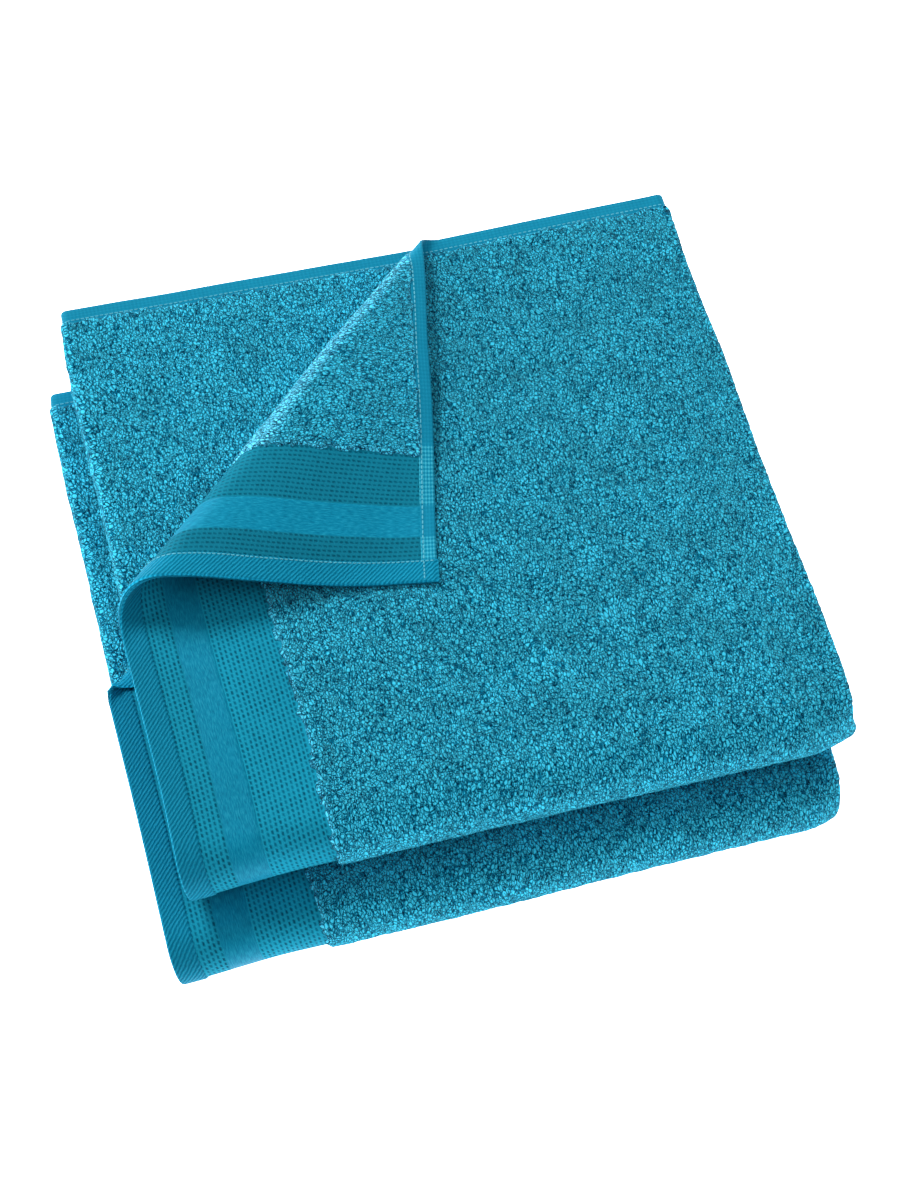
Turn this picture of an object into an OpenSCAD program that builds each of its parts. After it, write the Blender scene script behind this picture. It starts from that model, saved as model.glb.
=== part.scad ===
// A set of two bath towels, each folded to a square of eight layers and stacked.
// A towel is folded in four along its length, like a fan, and then in half across its
// width, so its layers nest round one roll at the front. The outer layer's back left
// corner is turned back over the top along a diagonal crease.

/* [Folded towel] */
// Width of the folded square, from the end hem to the right folds
side = 350; // [300:5:400]
// Depth of the folded square, from the front roll to the selvedge
depth = 350; // [300:5:400]
// Height of one layer in the upper towel
upper_pitch = 4.85; // [4.4:0.05:6]
// Height of one layer in the lower towel, which the upper one presses
lower_pitch = 4.6; // [4.4:0.05:6]
// Air left between two layers
layer_gap = 0.2; // [0.1:0.05:0.4]
// How far the left folds stay behind the outer end hem
fold_inset = 4; // [2:0.5:8]

/* [Woven border] */
// Width of the folded end hem
end_hem_w = 13; // [10:0.5:18]
// Width of the narrow waffle band beside the hem
narrow_band_w = 13; // [8:0.5:18]
// Width of the smooth satin band
satin_band_w = 17; // [10:0.5:24]
// Width of the wide waffle band beside the pile
wide_band_w = 33; // [20:0.5:45]
// Thickness of the bare woven bands
band_t = 2.4; // [1.5:0.1:3]
// Thickness of the end hem, where the cloth is doubled
end_hem_t = 3.2; // [2.4:0.1:3.8]

/* [Side hems] */
// Width of the side hem along the selvedge
side_hem_w = 9; // [6:0.5:14]
// Thickness of the side hem
side_hem_t = 2.2; // [1.5:0.1:2.6]
// How far the end hem sticks out past the selvedge
hem_tab = 1; // [0.5:0.25:2]

/* [Stitching] */
// Width of a line of stitches
thread_w = 0.6; // [0.4:0.1:1]
// How far a stitch stands out of the cloth
thread_t = 0.25; // [0.15:0.05:0.4]
// Distance of the stitches from the hem's inner edge
thread_inset = 1; // [0.5:0.25:2]

/* [Turned-back corner] */
// Length of the turned-back corner along the end hem
corner_hem = 190; // [150:5:200]
// Length of the turned-back corner along the selvedge
corner_back = 210; // [180:5:250]
// Radius of the open crease at the end hem, to the middle of the cloth
crease_r_hem = 13; // [8:0.5:14]
// Radius of the open crease at the selvedge, to the middle of the cloth
crease_r_back = 3.8; // [3.6:0.1:5]
// How far the corner droops below the level of its crease, in degrees
droop = 5; // [3:0.1:5.2]

/* [Stack] */
// How far the lower towel sits to the left of the upper one
lower_left = 13; // [0:1:30]
// How far the lower towel sits in front of the upper one
lower_front = 24; // [0:1:40]
// Air between the two towels
towel_gap = 0.4; // [0.3:0.1:1]

/* [Hidden] */
$fn = 72;

terry_colour = [0.16, 0.52, 0.63];
band_colour = [0.12, 0.46, 0.58];
satin_colour = [0.15, 0.58, 0.70];
hem_colour = [0.07, 0.44, 0.57];
thread_colour = [0.45, 0.76, 0.84];

// One towel's place, layer height and crease radii: [centre x, centre y, base z, pitch,
// crease radius at the hem, crease radius at the selvedge]. A pressed crease has radius 0.
lower = [-lower_left / 2, -lower_front / 2, 0, lower_pitch, 0, 0];
upper = [
    lower_left / 2, lower_front / 2, 8 * lower_pitch - layer_gap + towel_gap, upper_pitch,
    crease_r_hem, crease_r_back
];

// The towel's own frame: x from the end hem to the right folds, y from the roll to the
// selvedge, z up from its underside
left_x = -side / 2;
right_x = side / 2;
back_y = depth / 2 - hem_tab;
inner_x = left_x + fold_inset + 1;
border_w = end_hem_w + narrow_band_w + satin_band_w + wide_band_w;
reach = 200;

// Layers 1 to 4 count from the outside in. Their middles lie at these distances from the
// roll's centre line, above it in the top half and below it in the bottom half.
function pitch(towel) = towel[3];
function layer_r(towel, layer) = (4.5 - layer) * pitch(towel);
function terry_t(towel) = pitch(towel) - layer_gap;
function roll_z(towel) = 4 * pitch(towel) - layer_gap / 2;
function roll_y(towel) = -depth / 2 + roll_z(towel);
function outer_z(towel) = roll_z(towel) + layer_r(towel, 1);
function fold_r(towel) = pitch(towel) - layer_gap / 2;
function right_fold_x(towel) = right_x - fold_r(towel);
function left_fold_x(towel) = left_x + fold_inset + fold_r(towel);

// The crease runs from the end hem to the selvedge. s is the distance along it from the
// end hem, and u the distance across it, positive on the side the corner is turned to.
crease_length = norm([corner_back, corner_hem]);
// How far the shapes along the crease run on past its ends
crease_lead = crease_length / 8;
crease_start = [left_x, depth / 2 - corner_hem];
crease_dir = [corner_back, corner_hem] / crease_length;
crease_normal = [crease_dir.y, -crease_dir.x];
function crease_point(s, u) = crease_start + s * crease_dir + u * crease_normal;
function crease_r(towel, s) = towel[4] + (towel[5] - towel[4]) * s / crease_length;
function crease_offset(towel, s) = crease_r(towel, s) * PI / 2;
function hinge_point(towel, s) = concat(
    crease_point(s, 0), [outer_z(towel) + crease_r(towel, s)]
);

module place(towel) {
    translate([towel[0], towel[1], towel[2]]) children();
}

// Carries a cross-section along the top, round the front roll and back along the
// underside. The section is drawn as (distance from the roll's centre line, x).
module around_roll(towel, flat) {
    translate([0, roll_y(towel), roll_z(towel)]) rotate([90, 0, 90]) {
        rotate([0, 0, 90]) rotate_extrude(angle = 180) children();
        rotate([90, 0, 90]) linear_extrude(flat) children();
        mirror([0, 1, 0]) rotate([90, 0, 90]) linear_extrude(flat) children();
    }
}

// A stretch of one layer, from x0 to x1, thickness t, ending end_gap before the selvedge
module layer_strip(towel, layer, x0, x1, t, end_gap) {
    around_roll(towel, back_y - end_gap - roll_y(towel))
        translate([layer_r(towel, layer) - t / 2, x0]) square([t, x1 - x0]);
}

module terry_strip(towel, layer, x0, x1) {
    layer_strip(towel, layer, x0, x1, terry_t(towel), side_hem_w);
}

// A half-round fold that joins a layer to the next one inside it
module fold_bead(towel, layer, fold_x, outward) {
    bead_r = fold_r(towel);
    around_roll(towel, back_y - side_hem_w - roll_y(towel))
        translate([layer_r(towel, layer + 0.5), fold_x]) intersection() {
            circle(bead_r);
            translate([-bead_r, outward > 0 ? 0 : -bead_r]) square([2 * bead_r, bead_r]);
        }
}

// Half of a ring round a fold, bulging to the right or the left
module half_ring(ring_r, t, outward) {
    intersection() {
        difference() {
            circle(ring_r + t / 2);
            circle(ring_r - t / 2);
        }
        translate([outward > 0 ? 0 : -reach, -reach]) square([reach, 2 * reach]);
    }
}

// The side hem seen from behind: one ribbon that follows the cloth through its folds
module ribbon(towel, t) {
    right = right_fold_x(towel);
    left = left_fold_x(towel);
    starts = [left_x + end_hem_w, left, left, inner_x + end_hem_w];
    for (layer = [1:4])
        translate([starts[layer - 1], layer_r(towel, layer) - t / 2])
            square([right - starts[layer - 1], t]);
    for (layer = [1, 3])
        translate([right, layer_r(towel, layer + 0.5)]) half_ring(pitch(towel) / 2, t, 1);
    translate([left, layer_r(towel, 2.5)]) half_ring(pitch(towel) / 2, t, -1);
}

// A length of ribbon w wide along y, from y0 towards the selvedge. half is 1 for the
// selvedge of the top half and -1 for the one below.
module ribbon_length(towel, half, y0, w) {
    translate([0, y0 + w, roll_z(towel)]) rotate([90, 0, 0])
        linear_extrude(w) scale([1, half]) children();
}

module side_hem(towel, half) {
    ribbon_length(towel, half, back_y - side_hem_w, side_hem_w) ribbon(towel, side_hem_t);
}

module side_stitching(towel, half) {
    ribbon_length(towel, half, back_y - side_hem_w + thread_inset, thread_w) difference() {
        ribbon(towel, side_hem_t + 2 * thread_t);
        ribbon(towel, side_hem_t);
    }
}

// Stitches on both faces of an end hem that starts at hem_x
module end_stitching(towel, layer, hem_x) {
    x0 = hem_x + end_hem_w - thread_inset - thread_w;
    for (face = [-1, 1])
        around_roll(towel, back_y - roll_y(towel))
            translate([layer_r(towel, layer) + face * (end_hem_t + thread_t) / 2, x0])
                translate([-thread_t / 2, 0]) square([thread_t, thread_w]);
}

// The top layer on the corner's side of the crease. side_of_crease is 1 to start where the
// roll leaves the flat layer, and -1 to start where it meets the turned corner.
module corner_side(towel, side_of_crease) {
    ends = [-crease_lead, crease_length + crease_lead];
    near = [for (s = ends) crease_point(s, side_of_crease * crease_offset(towel, s))];
    far = [crease_point(ends[1], -reach), crease_point(ends[0], -reach)];
    translate([0, 0, roll_z(towel) + 3 * pitch(towel)])
        linear_extrude(2 * pitch(towel)) polygon(concat(near, far));
}

// Folds flat over the crease
module over_crease() {
    translate(crease_start) mirror([crease_normal.x, crease_normal.y, 0])
        translate(-crease_start) children();
}

// The room that a corner pressed flat takes out of the layer below it
module pressed_pocket(towel) {
    clear = layer_gap;
    translate([0, 0, outer_z(towel)]) linear_extrude(pitch(towel)) over_crease() polygon([
        crease_start + [-clear, -2 * clear],
        crease_start + [-clear, corner_hem + clear],
        crease_start + [corner_back + 2 * clear, corner_hem + clear]
    ]);
}

// What stays of the outer layer where its corner is turned back
module without_corner(towel) {
    difference() {
        children();
        corner_side(towel, 1);
        if (towel[4] == 0) pressed_pocket(towel);
    }
}

// The corner alone, turned over its crease: open on the upper towel, flat on the lower
module turned_corner(towel) {
    if (towel[4] > 0) {
        hinge = hinge_point(towel, 0);
        translate(hinge)
            rotate(a = 180 + droop, v = hinge_point(towel, crease_length) - hinge)
                translate(-hinge) intersection() {
                    children();
                    corner_side(towel, -1);
                }
    } else {
        over_crease() intersection() {
            children();
            corner_side(towel, -1);
            translate([-side, -depth, outer_z(towel) + layer_gap / 2])
                cube([2 * side, 2 * depth, pitch(towel)]);
        }
    }
}

// The outer layer's zones, from the end hem inwards
module end_hem_zone(towel) {
    layer_strip(towel, 1, left_x, left_x + end_hem_w, end_hem_t, -hem_tab);
}

module narrow_band_zone(towel) {
    x0 = left_x + end_hem_w;
    layer_strip(towel, 1, x0, x0 + narrow_band_w, band_t, side_hem_w);
}

module satin_band_zone(towel) {
    x0 = left_x + end_hem_w + narrow_band_w;
    layer_strip(towel, 1, x0, x0 + satin_band_w, band_t, side_hem_w);
}

module wide_band_zone(towel) {
    x0 = left_x + border_w - wide_band_w;
    layer_strip(towel, 1, x0, x0 + wide_band_w, band_t, side_hem_w);
}

module terry_zone(towel) {
    terry_strip(towel, 1, left_x + border_w, right_fold_x(towel));
}

module outer_terry(towel) {
    color(terry_colour) place(towel) without_corner(towel) terry_zone(towel);
}

module outer_wide_band(towel) {
    color(band_colour) place(towel) without_corner(towel) wide_band_zone(towel);
}

module outer_satin_band(towel) {
    color(satin_colour) place(towel) without_corner(towel) satin_band_zone(towel);
}

module outer_narrow_band(towel) {
    color(band_colour) place(towel) without_corner(towel) narrow_band_zone(towel);
}

module outer_end_hem(towel) {
    color(hem_colour) place(towel) without_corner(towel) end_hem_zone(towel);
}

module outer_hem_stitching(towel) {
    color(thread_colour) place(towel) without_corner(towel) end_stitching(towel, 1, left_x);
}

module right_fold_outer(towel) {
    color(terry_colour) place(towel) fold_bead(towel, 1, right_fold_x(towel), 1);
}

module second_panel(towel) {
    color(terry_colour) place(towel)
        terry_strip(towel, 2, left_fold_x(towel), right_fold_x(towel));
}

module left_fold(towel) {
    color(terry_colour) place(towel) fold_bead(towel, 2, left_fold_x(towel), -1);
}

module third_panel(towel) {
    color(terry_colour) place(towel)
        terry_strip(towel, 3, left_fold_x(towel), right_fold_x(towel));
}

module right_fold_inner(towel) {
    color(terry_colour) place(towel) fold_bead(towel, 3, right_fold_x(towel), 1);
}

module inner_terry(towel) {
    color(terry_colour) place(towel)
        terry_strip(towel, 4, inner_x + border_w, right_fold_x(towel));
}

module inner_border(towel) {
    color(band_colour) place(towel) layer_strip(
        towel, 4, inner_x + end_hem_w, inner_x + border_w, band_t, side_hem_w
    );
}

module inner_end_hem(towel) {
    color(hem_colour) place(towel)
        layer_strip(towel, 4, inner_x, inner_x + end_hem_w, end_hem_t, -hem_tab);
}

module inner_hem_stitching(towel) {
    color(thread_colour) place(towel) end_stitching(towel, 4, inner_x);
}

module side_hem_top(towel) {
    color(hem_colour) place(towel) without_corner(towel) side_hem(towel, 1);
}

module side_hem_bottom(towel) {
    color(hem_colour) place(towel) side_hem(towel, -1);
}

module side_stitching_top(towel) {
    color(thread_colour) place(towel) without_corner(towel) side_stitching(towel, 1);
}

module side_stitching_bottom(towel) {
    color(thread_colour) place(towel) side_stitching(towel, -1);
}

// The cloth round the crease: a half tube that narrows from the end hem to the selvedge,
// or a half-round edge where the corner is pressed flat
module crease_roll(towel) {
    start_r = crease_r(towel, 0);
    end_r = crease_r(towel, crease_length);
    half_t = terry_t(towel) / 2;
    from = concat(
        crease_point(0, crease_offset(towel, 0)), [outer_z(towel) + start_r]
    );
    to = concat(
        crease_point(crease_length, crease_offset(towel, crease_length)),
        [outer_z(towel) + end_r]
    );
    along = to - from;
    run = norm([along.x, along.y]);
    crease_end = crease_length + crease_lead;
    grow = (end_r - start_r) / run;
    length = norm(along) * (run + 2 * crease_lead) / run;
    color(terry_colour) place(towel) intersection() {
        translate(from) rotate([0, 0, atan2(along.y, along.x)])
            rotate([0, 90 - atan2(along.z, run), 0])
                translate([0, 0, -crease_lead * norm(along) / run]) difference() {
                    cylinder(
                        length,
                        r1 = start_r + half_t - crease_lead * grow,
                        r2 = end_r + half_t + crease_lead * grow
                    );
                    if (start_r > 0) translate([0, 0, -1]) cylinder(
                        length + 2,
                        r1 = start_r - half_t - (crease_lead + 1) * grow,
                        r2 = end_r - half_t + (crease_lead + 1) * grow
                    );
                }
        translate([0, 0, -reach]) linear_extrude(2 * reach + depth) polygon([
            crease_point(0, crease_offset(towel, 0) - layer_gap),
            crease_point(crease_end, crease_offset(towel, crease_end) - layer_gap),
            crease_point(crease_end, -reach),
            crease_point(0, -reach)
        ]);
        translate([left_x, -depth, -reach])
            cube([2 * side, depth + back_y, 2 * reach + depth]);
    }
}

module flap_terry(towel) {
    color(terry_colour) place(towel) turned_corner(towel) terry_zone(towel);
}

module flap_wide_band(towel) {
    color(band_colour) place(towel) turned_corner(towel) wide_band_zone(towel);
}

module flap_satin_band(towel) {
    color(satin_colour) place(towel) turned_corner(towel) satin_band_zone(towel);
}

module flap_narrow_band(towel) {
    color(band_colour) place(towel) turned_corner(towel) narrow_band_zone(towel);
}

module flap_end_hem(towel) {
    color(hem_colour) place(towel) turned_corner(towel) end_hem_zone(towel);
}

module flap_side_hem(towel) {
    color(hem_colour) place(towel) turned_corner(towel) side_hem(towel, 1);
}

module flap_stitching(towel) {
    color(thread_colour) place(towel) turned_corner(towel) {
        end_stitching(towel, 1, left_x);
        side_stitching(towel, 1);
    }
}

outer_terry(upper);  // upper_outer_terry
outer_wide_band(upper);  // upper_outer_wide_band
outer_satin_band(upper);  // upper_outer_satin_band
outer_narrow_band(upper);  // upper_outer_narrow_band
outer_end_hem(upper);  // upper_outer_end_hem
outer_hem_stitching(upper);  // upper_outer_hem_stitching
right_fold_outer(upper);  // upper_right_fold_outer
second_panel(upper);  // upper_second_panel
left_fold(upper);  // upper_left_fold
third_panel(upper);  // upper_third_panel
right_fold_inner(upper);  // upper_right_fold_inner
inner_terry(upper);  // upper_inner_terry
inner_border(upper);  // upper_inner_border
inner_end_hem(upper);  // upper_inner_end_hem
inner_hem_stitching(upper);  // upper_inner_hem_stitching
side_hem_top(upper);  // upper_side_hem_top
side_hem_bottom(upper);  // upper_side_hem_bottom
side_stitching_top(upper);  // upper_side_stitching_top
side_stitching_bottom(upper);  // upper_side_stitching_bottom
crease_roll(upper);  // upper_crease_roll
flap_terry(upper);  // upper_flap_terry
flap_wide_band(upper);  // upper_flap_wide_band
flap_satin_band(upper);  // upper_flap_satin_band
flap_narrow_band(upper);  // upper_flap_narrow_band
flap_end_hem(upper);  // upper_flap_end_hem
flap_side_hem(upper);  // upper_flap_side_hem
flap_stitching(upper);  // upper_flap_stitching
outer_terry(lower);  // lower_outer_terry
outer_wide_band(lower);  // lower_outer_wide_band
outer_satin_band(lower);  // lower_outer_satin_band
outer_narrow_band(lower);  // lower_outer_narrow_band
outer_end_hem(lower);  // lower_outer_end_hem
outer_hem_stitching(lower);  // lower_outer_hem_stitching
right_fold_outer(lower);  // lower_right_fold_outer
second_panel(lower);  // lower_second_panel
left_fold(lower);  // lower_left_fold
third_panel(lower);  // lower_third_panel
right_fold_inner(lower);  // lower_right_fold_inner
inner_terry(lower);  // lower_inner_terry
inner_border(lower);  // lower_inner_border
inner_end_hem(lower);  // lower_inner_end_hem
inner_hem_stitching(lower);  // lower_inner_hem_stitching
side_hem_top(lower);  // lower_side_hem_top
side_hem_bottom(lower);  // lower_side_hem_bottom
side_stitching_top(lower);  // lower_side_stitching_top
side_stitching_bottom(lower);  // lower_side_stitching_bottom
crease_roll(lower);  // lower_crease_roll
flap_terry(lower);  // lower_flap_terry
flap_wide_band(lower);  // lower_flap_wide_band
flap_satin_band(lower);  // lower_flap_satin_band
flap_narrow_band(lower);  // lower_flap_narrow_band
flap_end_hem(lower);  // lower_flap_end_hem
flap_side_hem(lower);  // lower_flap_side_hem
flap_stitching(lower);  // lower_flap_stitching
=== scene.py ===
import math
from collections import namedtuple

import bpy
import numpy as np
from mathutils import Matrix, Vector


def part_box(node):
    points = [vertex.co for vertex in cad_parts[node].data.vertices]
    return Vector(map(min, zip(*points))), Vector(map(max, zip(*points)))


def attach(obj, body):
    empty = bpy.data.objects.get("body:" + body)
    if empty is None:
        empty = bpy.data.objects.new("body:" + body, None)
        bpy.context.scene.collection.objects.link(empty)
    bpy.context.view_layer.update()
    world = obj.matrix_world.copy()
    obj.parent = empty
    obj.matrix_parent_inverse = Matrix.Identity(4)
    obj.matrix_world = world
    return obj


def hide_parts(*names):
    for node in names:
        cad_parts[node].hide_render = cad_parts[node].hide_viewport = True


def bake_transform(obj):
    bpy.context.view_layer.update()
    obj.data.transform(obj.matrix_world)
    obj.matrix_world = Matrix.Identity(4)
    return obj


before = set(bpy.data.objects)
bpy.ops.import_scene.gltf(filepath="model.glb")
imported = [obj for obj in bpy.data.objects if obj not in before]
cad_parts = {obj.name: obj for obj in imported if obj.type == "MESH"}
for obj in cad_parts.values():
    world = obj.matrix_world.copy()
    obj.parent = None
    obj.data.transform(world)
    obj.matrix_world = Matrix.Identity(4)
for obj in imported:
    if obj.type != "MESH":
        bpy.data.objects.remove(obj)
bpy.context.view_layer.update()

# Two bath towels, each folded in four along its length and in half across its width.
# A towel is one function from cloth to space: a is the distance along the cloth from
# the outer end hem, and e the distance in from a selvedge, so every zone of the cloth
# is a piece cut from the same folded surface. All lengths are in metres.

MM = 0.001

# The fold: the air between two layers, and how far the left folds and the inner end hem
# stay behind the outer end hem
LAYER_GAP = 0.2 * MM
FOLD_INSET = 4 * MM
INNER_INSET = 5 * MM

# Widths of the woven border, from the end of the towel inwards, and of the side hems.
# The end hem sticks out past the selvedge by HEM_TAB.
END_HEM = 13 * MM
NARROW_BAND = 13 * MM
SATIN_BAND = 17 * MM
WIDE_BAND = 33 * MM
SATIN_MIDDLE = END_HEM + NARROW_BAND + SATIN_BAND / 2
BORDER = END_HEM + NARROW_BAND + SATIN_BAND + WIDE_BAND
SIDE_HEM = 9 * MM
HEM_TAB = 1 * MM

# Thicknesses. Each band is a STEP thinner than the one before it and starts a TUCK inside
# it, so the bands overlap like shingles.
END_HEM_T = 3.2 * MM
SIDE_HEM_T = 2.2 * MM
BAND_T = 2.4 * MM
STEP = 0.08 * MM
TUCK = 1.5 * MM

# The outer end hem swings in by TUCKED_UNDER where it goes over the front roll, and the
# stiff border stands out there by HEM_BULGE.
TUCKED_UNDER = 9 * MM
HEM_CURVE = 20 * MM
HEM_BULGE = 2.5 * MM

# The pile reaches this much further over the border on the inner face
PILE_LIP = 5 * MM

# Where the crease of the turned corner meets the end hem and the selvedge, as distances
# from the corner, and where the corner comes to lie, across and along the crease
CREASE_HEM = 190 * MM
CREASE_BACK = 210 * MM
CORNER_TIP = (163 * MM, -29 * MM)

# Keeps the weave of the inner face from repeating that of the outer face
REVERSE_SHIFT = 0.9


def ease(t):
    """A smooth step from 0 to 1."""
    t = np.clip(t, 0.0, 1.0)
    return t * t * (3 - 2 * t)


class Noise:
    """Smooth random bumps between -1 and 1 on a lattice that repeats."""

    SIZE = 256

    def __init__(self, seed):
        self.table = np.random.RandomState(seed).uniform(-1, 1, (self.SIZE, self.SIZE))

    def __call__(self, x, y, cell):
        u = np.asarray(x) / cell
        v = np.asarray(y) / cell
        i = np.floor(u).astype(int)
        j = np.floor(v).astype(int)
        s = ease(u - i)
        t = ease(v - j)
        low = self.corner(i, j) * (1 - s) + self.corner(i + 1, j) * s
        high = self.corner(i, j + 1) * (1 - s) + self.corner(i + 1, j + 1) * s
        return low * (1 - t) + high * t

    def corner(self, i, j):
        return self.table[i % self.SIZE, j % self.SIZE]


PILLOW = Noise(3)
PILE = Noise(11)
RAGGED = Noise(23)

STACK_LOW, STACK_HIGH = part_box("lower_outer_terry")[0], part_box("upper_outer_terry")[1]


def reaching(value, start, run, most=1.0):
    """0 up to start, then rising evenly by 1 in each run, and never above most."""
    return np.clip((value - start) / run, 0, most)


def soften(points):
    """Lets the whole stack sag, swell and round its corners, the more the higher it is."""
    x, y, z = points[..., 0], points[..., 1], points[..., 2]

    to_left = reaching(-x, 60 * MM, 120 * MM)
    to_right = reaching(x, STACK_HIGH.x - 30 * MM, 30 * MM, 1.2)
    to_front = reaching(-y, -STACK_LOW.y - 60 * MM, 60 * MM, 1.2)
    to_back = reaching(y, 100 * MM, 90 * MM)
    on_top = ease((z - 45 * MM) / (20 * MM))
    back_left = reaching(-x, 0, 175 * MM) * reaching(y, 0, 180 * MM)
    back_corner = to_left ** 4 * ease((y - 150 * MM) / (35 * MM))
    off_the_back = 1 - 0.75 * ease((y - 100 * MM) / (80 * MM))

    swell = 1.3 * MM * PILLOW(x + 3, y + 5, 0.085) + 0.6 * MM * PILLOW(x, y + 9, 0.034)
    sag = 0.5 * MM * to_left ** 2 + 0.8 * MM * to_back ** 2
    rise = z / STACK_HIGH.z * (swell - sag)

    narrower = (5 * MM * to_front ** 3 + 3.5 * MM * on_top * off_the_back) * to_right
    drawn_in = 3 * MM * to_left ** 2 * to_back + (4 - 1.5 * on_top) * MM * back_corner
    wavy_side = 1.2 * MM * PILLOW(y + 2, z + 1, 0.09)

    pushed_back = 6 * MM * back_left + 1.5 * MM * to_back
    round_corner = 10 * MM * to_right ** 2 * to_front
    askew = 1.1 * MM * (1 - on_top) * to_front * x / (170 * MM)
    wavy_front = 1.2 * MM * PILLOW(x + 7, z + 4, 0.12)

    moved = points.copy()
    moved[..., 0] = x + wavy_side - narrower + drawn_in
    moved[..., 1] = y + wavy_front + pushed_back + round_corner + askew
    moved[..., 2] = z + rise
    return moved


class Towel:
    """One folded towel, placed by its CAD solids."""

    def __init__(self, name, body, roll_radii, turn_deg, pressed):
        low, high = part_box(name + "_outer_terry")
        hem_low, hem_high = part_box(name + "_outer_end_hem")
        fold_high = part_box(name + "_right_fold_outer")[1]
        self.name = name
        self.body = body
        self.turn_deg = turn_deg
        self.pressed = pressed
        self.base = low.z
        self.front = low.y
        self.left = hem_low.x
        self.back = hem_high.y - HEM_TAB
        self.pitch = (high.z - low.z + LAYER_GAP) / 8
        self.terry_t = self.pitch - LAYER_GAP
        self.fold_x = fold_high.x - self.pitch + LAYER_GAP / 2
        self.left_fold_x = self.left + FOLD_INSET + self.pitch - LAYER_GAP / 2
        self.roll_z = self.base + 4 * self.pitch - LAYER_GAP / 2
        self.roll_y = self.front + self.roll_z - self.base
        self.middle = Vector((self.left / 2 + fold_high.x / 2, self.front / 2 + self.back / 2, 0))
        arc = math.pi * self.pitch / 2
        panel = self.fold_x - self.left_fold_x
        last = self.fold_x - self.left - INNER_INSET
        steps = [0, self.fold_x - self.left, arc, panel, arc, panel, arc, last]
        self.marks = np.cumsum(steps)
        self.length = self.marks[-1]
        self.half = self.half_width(3.5 * self.pitch)
        self.width = 2 * self.half
        self.set_crease(roll_radii)

    def set_crease(self, roll_radii):
        """The line that the corner turns over, and where the turned corner comes to lie."""
        top = self.back + HEM_TAB
        self.crease_start = np.array([self.left, top - CREASE_HEM])
        end = np.array([self.left + CREASE_BACK, top])
        self.crease_length = np.linalg.norm(end - self.crease_start)
        self.along = (end - self.crease_start) / self.crease_length
        self.across = np.array([self.along[1], -self.along[0]])
        self.roll_radii = np.array(roll_radii) * MM
        corner = np.array([self.left, top]) - self.crease_start
        tip = np.array(CORNER_TIP)
        depth = -corner @ self.across
        self.slip = (tip @ self.along - corner @ self.along) / depth
        self.shrink = (tip @ self.across) / depth
        self.rest_height = (self.terry_t + END_HEM_T) / 2 + 0.3 * MM
        self.droop_run = 100 * MM

    def half_width(self, r):
        """Length of cloth from the middle of the front roll to a selvedge."""
        return math.pi * r / 2 + self.back - self.roll_y

    def path(self, a):
        """x and the distance from the roll's centre line, for the cloth's own length a."""
        m, p = self.marks, self.pitch
        turn = [(a - m[i]) / (p / 2) for i in (1, 3, 5)]
        which = [a < m[1], a < m[2], a < m[3], a < m[4], a < m[5], a < m[6]]
        x = np.select(which, [
            self.left + a,
            self.fold_x + p / 2 * np.sin(turn[0]),
            self.fold_x - (a - m[2]),
            self.left_fold_x - p / 2 * np.sin(turn[1]),
            self.left_fold_x + (a - m[4]),
            self.fold_x + p / 2 * np.sin(turn[2]),
        ], self.fold_x - (a - m[6]))
        r = np.select(which, [
            3.5 * p + 0 * a,
            3 * p + p / 2 * np.cos(turn[0]),
            2.5 * p + 0 * a,
            2 * p + p / 2 * np.cos(turn[1]),
            1.5 * p + 0 * a,
            p + p / 2 * np.cos(turn[2]),
        ], 0.5 * p + 0 * a)
        return x, r

    def drop(self, a):
        """The thin border of the outer layer lies down on the layer under it."""
        in_border = 1 - ease((a - BORDER + 1.5 * MM) / (1.5 * MM))
        in_hem = 1 - ease((a - END_HEM) / (2 * MM) + 0.5)
        thin = (self.terry_t - BAND_T) / 2 * in_border
        return thin - (END_HEM_T - BAND_T) / 2 * in_hem

    def fold_corner(self, x, y):
        """The outer layer with its back left corner turned over the crease: new x and y,
        height above the layer, how far each point has been turned, from 0 to 1, and how
        far it is pressed flat. s runs along the crease and q across it, negative on the
        side of the corner."""
        sx, sy = x - self.crease_start[0], y - self.crease_start[1]
        s = sx * self.along[0] + sy * self.along[1]
        q = sx * self.across[0] + sy * self.across[1]
        share = np.clip(s / self.crease_length, 0, 1)
        radius = np.interp(share, np.linspace(0, 1, len(self.roll_radii)), self.roll_radii)
        start = radius * math.pi / 2
        turned = np.clip((start - q) / (math.pi * radius), 0, 1)
        beyond = np.maximum(0, start - math.pi * radius - q)
        u = np.where(q >= start, q, start - radius * np.sin(math.pi * turned) + beyond)
        settle = ease((start - q) / (math.pi * radius + 40 * MM))
        u = u * (1 - settle) - q * self.shrink * settle
        s = s - q * self.slip * settle
        falling = self.rest_height + (2 * radius - self.rest_height) * (
            1 - ease(beyond / self.droop_run)
        )
        z = np.where(beyond > 0, falling, radius * (1 - np.cos(math.pi * turned)))
        new_x = self.crease_start[0] + s * self.along[0] + u * self.across[0]
        new_y = self.crease_start[1] + s * self.along[1] + u * self.across[1]
        if not self.pressed:
            return new_x, new_y, z, turned, np.zeros_like(z)
        z, squeeze = self.press(s, q, new_x, z, turned)
        return new_x, new_y, z, turned, squeeze

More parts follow.
